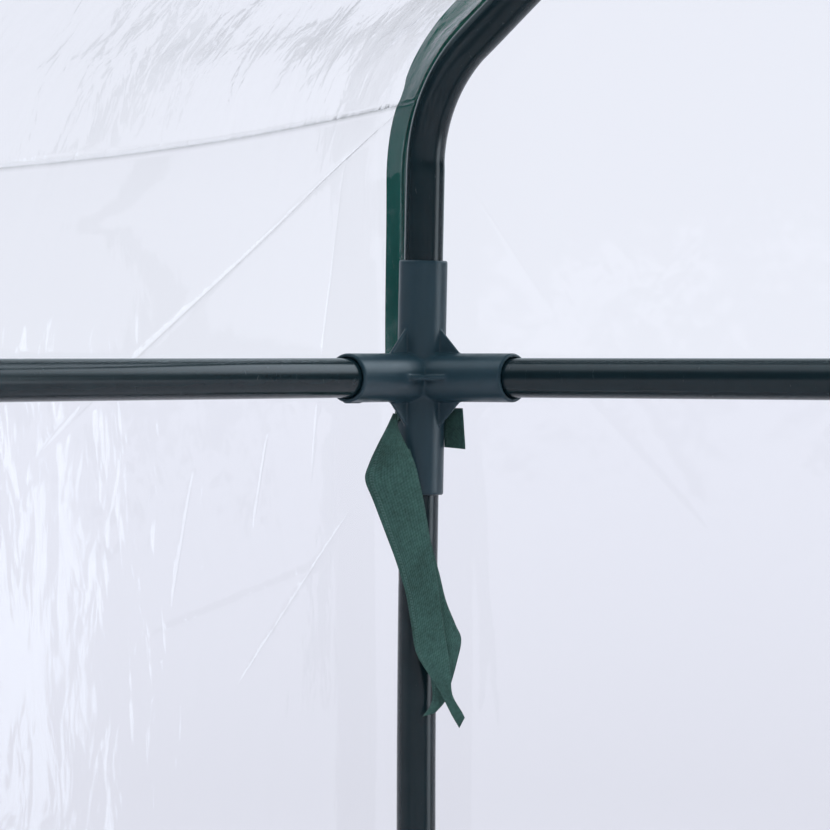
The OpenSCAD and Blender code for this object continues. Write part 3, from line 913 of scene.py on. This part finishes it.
def strip_block(x0, x1, y, z0, z1):
    z = np.linspace(z0, z1, max(4, int((z1 - z0) / (6 * MM))))
    line = np.stack([0 * z + (x0 + x1) / 2, 0 * z + y, z], -1)
    return ribbon(line, np.tile([(x1 - x0) / 2, 0, 0], (len(z), 1)), ZIP_T)


def teeth(x0, x1, y, z0, z1):
    """A row of coil turns lying across the tape, each a little loop seen from the side."""
    sign = 1 if x1 > x0 else -1
    mid = (x0 + x1) / 2
    loop = np.array([
        (x0 + sign * 0.25 * MM, y, -0.25 * MM), (mid, y - ZIP_T, -0.1 * MM),
        (x1 - sign * 0.35 * MM, y - ZIP_T * 0.8, 0), (x1 - sign * 0.32 * MM, y + ZIP_T * 0.4, 0.12 * MM),
        (mid, y + ZIP_T, 0.25 * MM)])
    heights = np.arange(z0 + 0.8 * MM, z1 - 0.4 * MM, 1.5 * MM)
    return joined([sweep(loop + z * AZ, 0.3 * MM, 6) for z in heights])


def zips():
    """Each zip's two halves: a plain tape, and the coil on the side where they meet."""
    for b, x in SIDES.items():
        for node, body, inner in ((f"door_zip_{b}", "door", True), (f"zip_track_{b}", "frame", False)):
            low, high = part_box(node)
            near, far = (low[0], high[0]) if x > 0 else (high[0], low[0])
            mid_y = (low[1] + high[1]) / 2
            tape_edge, coil_edge = (near, far) if inner else (far, near)
            split = coil_edge - (coil_edge - tape_edge) * 0.52
            lo, hi = sorted((tape_edge, split))
            span = mid_y, low[2], high[2]
            parts = [strip_block(lo, hi, *span), teeth(split, coil_edge, *span)]
            piece(node + "_coil", *joined(parts), NYLON, "zip_chain", body=body, nodes=[node])


def rounded_box(p, centre, half, r):
    q = np.abs(p - np.array(centre)) - (np.array(half) - r)
    return np.linalg.norm(np.maximum(q, 0), axis=-1) + np.minimum(q.max(axis=-1), 0) - r


def rod_x(p, y, z, half, r):
    rho = np.hypot(p[..., 1] - y, p[..., 2] - z)
    return blend_max(rho - r, np.abs(p[..., 0]) - half, 0.15)


def slider_field(half_h, pin_y, pin_z):
    """A slider in millimetres, from the middle of its back plate: two plates, a web, two ears and a pin."""
    front = -5.8

    def field(p):
        taper = 1 - 0.16 * np.clip(-p[..., 2] / half_h, 0, 1)
        q = np.stack([p[..., 0] / taper, p[..., 1], p[..., 2]], -1)
        plates = [rounded_box(q, (0, y, 0), (4, 0.6, half_h), 0.55) for y in (front + 0.6, -0.6)]
        web = rounded_box(p, (0, front / 2, 0), (0.25, -front / 2, half_h), 0.2)
        d = blend_min(np.minimum(*plates), web, 0.2)
        for side in (-1, 1):
            ear = rounded_box(p, (side * 2.7, (pin_y + front) / 2 - 0.2, pin_z),
                              (0.5, (front - pin_y) / 2 + 0.9, 0.95), 0.4)
            d = blend_min(d, ear, 0.3)
        return np.minimum(d, rod_x(p, pin_y, pin_z, 2.8, 0.68))
    return field


def pull_field(p):
    """A pull in millimetres from its pin: a barrel, a neck and a tab with a hole and a sunk panel."""
    d = rod_x(p, 0, 0, 2, 1.3)
    d = blend_min(d, rounded_box(p, (0, 0, -3.4), (1.9, 0.55, 3.2), 0.45), 0.5)
    d = blend_min(d, rounded_box(p, (0, 0, -16.4), (3.0, 0.6, 11.5), 0.55), 0.8)
    d = blend_max(d, 1.5 - np.hypot(p[..., 0], p[..., 2] + 23), 0.3)
    d = blend_max(d, -rounded_box(p, (0, -0.7, -13), (1.6, 0.35, 5.5), 0.3), 0.2)
    return blend_max(d, 0.76 - np.hypot(p[..., 1], p[..., 2]), 0.1)


def casting(name, node, body, field, at, step):
    """A small enamelled casting over its CAD node, from a field in millimetres round a point."""
    low, high = (np.array(c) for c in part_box(node))
    verts, faces = mesh_of(lambda p: field((p - at) / MM) * MM, low - MM, high + MM, step)
    piece(name, verts, faces, ENAMEL, "zip_metal", body=body, nodes=[node])


def zip_hardware():
    for b in SIDES:
        slider, pull = f"zip_slider_{b}", f"zip_pull_{b}"
        low, high = (np.array(c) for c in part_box(slider))
        pull_low, pull_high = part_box(pull)
        pin = np.array([(pull_low[0] + pull_high[0]) / 2, pull_low[1] + 1.3 * MM, pull_high[2] - 1.3 * MM])
        at = np.array([pin[0], high[1], (low[2] + high[2]) / 2])
        field = slider_field((high[2] - at[2]) / MM, *((pin - at) / MM)[1:])
        casting(slider + "_casting", slider, f"slider_{b}", field, at, 0.24 * MM)
        casting(pull + "_tab", pull, f"pull_{b}", pull_field, pin, 0.22 * MM)


def door_trim():
    low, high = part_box("door_hem")
    z = (low[2] + high[2]) / 2
    x = np.linspace(low[0], high[0], 150)
    y = high[1] - 0.15 * MM - 0.2 * MM * (1 + np.sin(x * 60))
    line = np.stack([x, y, 0 * x + z], -1)
    half = (high[2] - low[2]) / 2
    strip = ribbon(line, np.tile([0, 0, half], (len(x), 1)), -0.4 * MM)
    obj = piece("door_hem_tape", *strip, VINYL, "binding", body="door", nodes=["door_hem"])
    seam = line + [0, -0.5 * MM, half - SEAM_INSET]
    piece("door_hem_stitching", *stitches(seam), THREAD, "binding", body="door")


# ---- Woven tie straps ----

TAPE_W = 15 * MM
TAPE_T = 0.55 * MM


def curve_through(points, per):
    """Catmull-Rom points through given stations."""
    p = np.asarray(points, float)
    p = np.concatenate([[2 * p[0] - p[1]], p, [2 * p[-1] - p[-2]]])
    rows = []
    for a, b, c, d in zip(p[:-3], p[1:-2], p[2:-1], p[3:]):
        for t in np.linspace(0, 1, per, endpoint=False):
            rows.append(0.5 * (2 * b + (c - a) * t + (2 * a - 5 * b + 4 * c - d) * t * t
                               + (3 * b - a - 3 * c + d) * t ** 3))
    return np.array(rows + [p[-2]])


def tape_piece(name, points, body, nodes, flat):
    """A woven tape from a grid of points, along by across, with UVs in millimetres of tape."""
    obj = piece(name, *sheet_mesh(points, TAPE_T), TAPE, "tie_tape", body=body, nodes=nodes)
    rows, cols = points.shape[:2]
    steps = np.linalg.norm(np.diff(points[:, cols // 2], axis=0), axis=1)
    along = np.concatenate([[0], np.cumsum(steps)])
    u = np.tile(np.linspace(0, TAPE_W / MM, cols), rows)
    v = np.repeat(along / MM, cols)
    uv = np.stack([np.tile(u, 2), np.tile(v, 2)], -1)
    layer = obj.data.uv_layers.new(name="UVMap")
    loops = np.empty(len(obj.data.loops), int)
    obj.data.loops.foreach_get("vertex_index", loops)
    layer.data.foreach_set("uv", uv[loops].ravel())


# Stations of both long tails in millimetres: left edge and right edge (across, up), how far out, and bow
FRONT_TAIL = [
    (-11.4, -14.5, -9.9, -15.0, 6.5, 0.2), (-14.2, -20.5, -9.2, -20.5, 10.5, 0.8),
    (-17.8, -27.5, -6.4, -26.5, 12.5, 1.5), (-21.2, -35.0, -2.8, -34.0, 13.2, 1.6),
    (-22.8, -41.5, -0.4, -43.5, 13.4, 1.1), (-19.4, -50.5, 1.6, -53.0, 13.4, 0.8),
    (-14.3, -64.0, 3.8, -67.0, 13.0, 0.7), (-10.2, -75.0, 6.0, -77.5, 13.0, 0.8),
    (-6.3, -88.0, 8.0, -91.0, 13.5, 0.9), (-4.2, -100.0, 10.0, -105.0, 14.2, 0.8),
    (-2.0, -112.0, 12.0, -119.0, 14.8, 0.6), (3.6, -121.5, 12.4, -127.0, 15.0, 0.4),
    (7.4, -127.5, 13.6, -131.0, 15.0, 0.2), (12.6, -137.6, 16.4, -135.6, 15.0, 0.1),
    (15.6, -142.6, 17.8, -138.4, 15.0, 0.0)]
REAR_TAIL = [
    (-17.5, -30.0, -4.5, -29.0, 11.2, 0.2), (-19.5, -45.0, 0.2, -46.0, 11.4, 0.2),
    (-12.5, -65.0, 4.0, -66.5, 11.2, 0.3), (-7.8, -80.0, 7.4, -79.5, 11.2, 0.5),
    (-4.0, -92.0, 10.2, -91.0, 11.2, 0.8), (-0.5, -102.5, 14.0, -100.5, 11.0, 1.1),
    (2.2, -111.0, 16.4, -107.0, 10.8, 1.3), (3.6, -121.0, 14.4, -117.0, 10.6, 1.2),
    (4.6, -129.0, 11.6, -127.0, 10.6, 0.8), (3.6, -134.0, 9.6, -132.4, 10.6, 0.5),
    (0.6, -138.2, 5.6, -137.0, 10.6, 0.2)]


def tail_grid(stations):
    rows = curve_through(np.array(stations) * MM, 9)
    s = np.linspace(0, 1, 15)
    left, right = rows[:, None, 0:2], rows[:, None, 2:4]
    flat = left + (right - left) * s[:, None]
    away = rows[:, 4:5] + rows[:, 5:6] * (1 - (2 * s - 1) ** 2)
    away = away + 0.25 * MM * np.sin(np.arange(len(rows))[:, None] * 0.22 + s * 2.5)
    return flat[..., 0:1] * ACROSS + away[..., None] * INWARD + flat[..., 1:2] * AZ


def tail_crease(points):
    """The fold down the knotted end of the long tail, where the tape's own edge turns over."""
    rows, cols = points.shape[:2]
    v = np.arange(rows)[:, None] / rows
    s = np.linspace(0, 1, cols)[None, :]
    line = 0.86 - 1.2 * v
    strength = smooth_step((0.34 - v) / 0.2)
    lift = 1.3 * MM * strength * np.exp(-np.abs(s - line) / 0.12)
    return points + lift[..., None] * INWARD


def tie_band():
    """The part of the strap round the socket, gathered towards the knot."""
    angle = np.radians(np.linspace(76, 214, 46))
    gather = smooth_step((angle - np.radians(150)) / np.radians(64))
    half = TAPE_W / 2 * (1 - 0.72 * gather)
    mid = (-20.5 + 5.0 * gather) * MM
    s = np.linspace(-1, 1, 11)
    ridge = 0.35 * MM * gather[:, None] * np.cos(s[None, :] * 9)
    radius = SOCKET_R + 0.75 * MM + ridge
    around = np.cos(angle)[:, None, None] * ACROSS - np.sin(angle)[:, None, None] * INWARD
    return radius[..., None] * around + (mid[:, None] + half[:, None] * s[None, :])[..., None] * AZ


def short_tail():
    """The strap's short cut end, which stands out beside the post."""
    out_y = np.linspace(-4.6, -14.6, 14)[None, :] * MM
    z = np.linspace(-12.6, -28.4, 20)[:, None] * MM
    lean = smooth_step((-z - 12.6 * MM) / (16 * MM)) * 0.8 * MM
    flare = 1 + 0.06 * (z + 20 * MM) / (-8 * MM)
    y = out_y * flare
    x = 9.75 * MM + 0.28 * MM * np.sin(out_y / MM * 0.5) - lean * 0.5 + 0 * z
    cut = 1.0 * MM * (out_y / (15 * MM)) * (z < -27 * MM)
    return np.stack([x + 0 * y, y + 0 * z, z + cut + 0 * y], -1)


def ties():
    """A strap round each eave corner; its long tail stands for the CAD node."""
    parts = (("long_tail", tail_crease(tail_grid(FRONT_TAIL)), (TAPE_W, 0.145)),
             ("under_tail", tail_grid(REAR_TAIL), (TAPE_W, 0.118)), ("band", tie_band(), (TAPE_W, 0.027)),
             ("short_tail", short_tail(), (TAPE_W * 0.7, 0.016)))
    for a, b, x, y in CORNERS:
        name = f"tie_{a}_{b}"
        for part, grid, flat in parts:
            grid = (grid + CORNER) * [x, y, 1]
            if x * y < 0:
                grid = grid[:, ::-1]
            tape_piece(f"{name}_{part}", grid, "frame", [name] if part == "long_tail" else [], flat)


def door_ties():
    for b in SIDES:
        for kind, body, side in (("outer", "door", -1), ("inner", "frame", 1)):
            low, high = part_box(f"door_tie_{kind}_{b}")
            z = np.linspace(high[2], low[2], 60)[:, None]
            s = np.linspace(-1, 1, 11)[None, :]
            t = (high[2] - z) / (high[2] - low[2])
            x = (low[0] + high[0]) / 2 + s * TAPE_W / 2 + 2.0 * MM * np.sin(t * 3) * t
            y = (low[1] + high[1]) / 2 + side * (0.3 + 1.6 * t ** 2 * (1 + 0.4 * np.cos(s * 2 + 1))) * MM
            grid = np.stack([x, y + 0 * x, z + 0 * x], -1)
            if side > 0:
                grid = grid[:, ::-1]
            tape_piece(f"door_tie_{kind}_{b}_tape", grid, body, [f"door_tie_{kind}_{b}"],
                       (TAPE_W, high[2] - low[2]))


# ---- Stage, light and camera ----


def add(name, data, **settings):
    """A new object in the scene, for a lamp, a camera or the floor."""
    obj = bpy.data.objects.new(name, data)
    for key, value in settings.items():
        setattr(obj, key, value)
    bpy.context.scene.collection.objects.link(obj)
    return obj


def towards(way):
    """The turn of a lamp or camera that looks along `way`."""
    return Vector(way).to_track_quat("-Z", "Y").to_euler()


def stage():
    """A pale floor with painted shade: darker within about 3.2 m of the middle, a little paler far away so
    that it meets the backdrop.
    """
    mesh = bpy.data.meshes.new("floor")
    size = 300.0
    corners = [(-size, -size, 0), (size, -size, 0), (size, size, 0), (-size, size, 0)]
    mesh.from_pydata(corners, [], [(0, 1, 2, 3)])
    floor = add("floor", mesh)
    mat, g, shader = material("floor_paint", (0.78, 0.79, 0.86), 0.9, Specular_IOR_Level=0)
    length = g.nodes.new("ShaderNodeVectorMath")
    length.operation = "LENGTH"
    g.put(length.inputs[0], g.position())
    # Painted shade: the floor's colour darkens within about 3.2 m of the middle and pales farther out
    near = g.math("DIVIDE", 3.2, length.outputs["Value"])
    g.feed(shader, Base_Color=g.ramp(near, (0.0, 0.75, 0.752, 0.80), (1.0, 0.675, 0.672, 0.715)))
    mesh.materials.append(mat)


def lamps():
    """A very soft sun for the shading, and a soft box beside the corner for its sheen."""
    sun = bpy.data.lights.new("sun", "SUN")
    sun.energy = 1.3
    sun.angle = math.radians(50)
    add("sun", sun, visible_glossy=False, rotation_euler=towards(-0.35 * ACROSS - 0.45 * INWARD - 0.9 * AZ))
    box = bpy.data.lights.new("side_box", "AREA")
    box.shape = "RECTANGLE"
    box.size, box.size_y = 0.8, 1.6
    box.energy = 13
    box.color = (0.9, 1, 1.08)
    away = 2 * np.array([0.49, -0.872, 0])
    add("side_box", box, location=CORNER + away, rotation_euler=towards(-away), visible_camera=False,
        visible_diffuse=False)


# Soft boxes seen in reflections: the way to each, where its edge ends and begins in degrees, and its power
SOFT_BOXES = [(-INWARD, 53, 36, 0.85), (np.array([0.78, -0.30, 0.55]), 26, 9, 3.1),
              (np.array([-0.2, 0.62, 0.75]), 33, 9, 1.6)]
ROOM_GLOW = 0.05


def studio():
    """An even light on dull surfaces, a dark room with soft boxes in glossy ones, and a pale backdrop."""
    world = bpy.data.worlds.new("studio")
    bpy.context.scene.world = world
    world.use_nodes = True
    g = Graph(world.node_tree)
    way = g.node("ShaderNodeTexCoord").outputs["Generated"]
    glow = ROOM_GLOW
    for centre, outer, inner, power in SOFT_BOXES:
        edge = g.node("ShaderNodeMapRange", Value=g.dot(way, centre / np.linalg.norm(centre)), To_Max=power,
                      From_Min=math.cos(math.radians(outer)), From_Max=math.cos(math.radians(inner)))
        edge.interpolation_type = "SMOOTHSTEP"
        glow = g.math("ADD", edge.outputs["Result"], glow)
    shade = g.node("ShaderNodeMapRange", Value=g.dot(way, ACROSS), From_Min=-0.08, From_Max=0.03, To_Min=0.95)
    ambient = g.node("ShaderNodeBackground", Color=(0.80, 0.82, 0.87, 1))
    boxed = g.node("ShaderNodeBackground", Color=(0.86, 0.98, 1.08, 1), Strength=glow)
    seen = g.node("ShaderNodeBackground", Color=(0.898, 0.920, 1.003, 1), Strength=shade.outputs["Result"])
    path = g.node("ShaderNodeLightPath").outputs
    lit = g.mix_shader(path["Is Glossy Ray"], ambient.outputs[0], boxed.outputs[0])
    g.feed(g.nodes["World Output"], Surface=g.mix_shader(path["Is Camera Ray"], lit, seen.outputs[0]))


def camera():
    """From outside the front left corner, cut clear of it, towards the back right eave corner and level."""
    data = bpy.data.cameras.new("camera")
    data.lens = 186.5
    data.sensor_width = 36
    data.clip_start = 1.25
    data.clip_end = 1000
    eye = CORNER + 1.763 * INWARD + 10 * MM * AZ
    aim = CORNER - 2.5 * MM * ACROSS - 15.4 * MM * AZ
    bpy.context.scene.camera = add("camera", data, location=eye, rotation_euler=towards(aim - eye))


tubes()
connectors()
long_sheets()
gables()
fronts()
bindings()
hems()
zips()
zip_hardware()
door_trim()
ties()
door_ties()
stage()
lamps()
studio()
camera()
scene = bpy.context.scene
scene.view_settings.view_transform = "Standard"
scene.cycles.transparent_max_bounces = 32
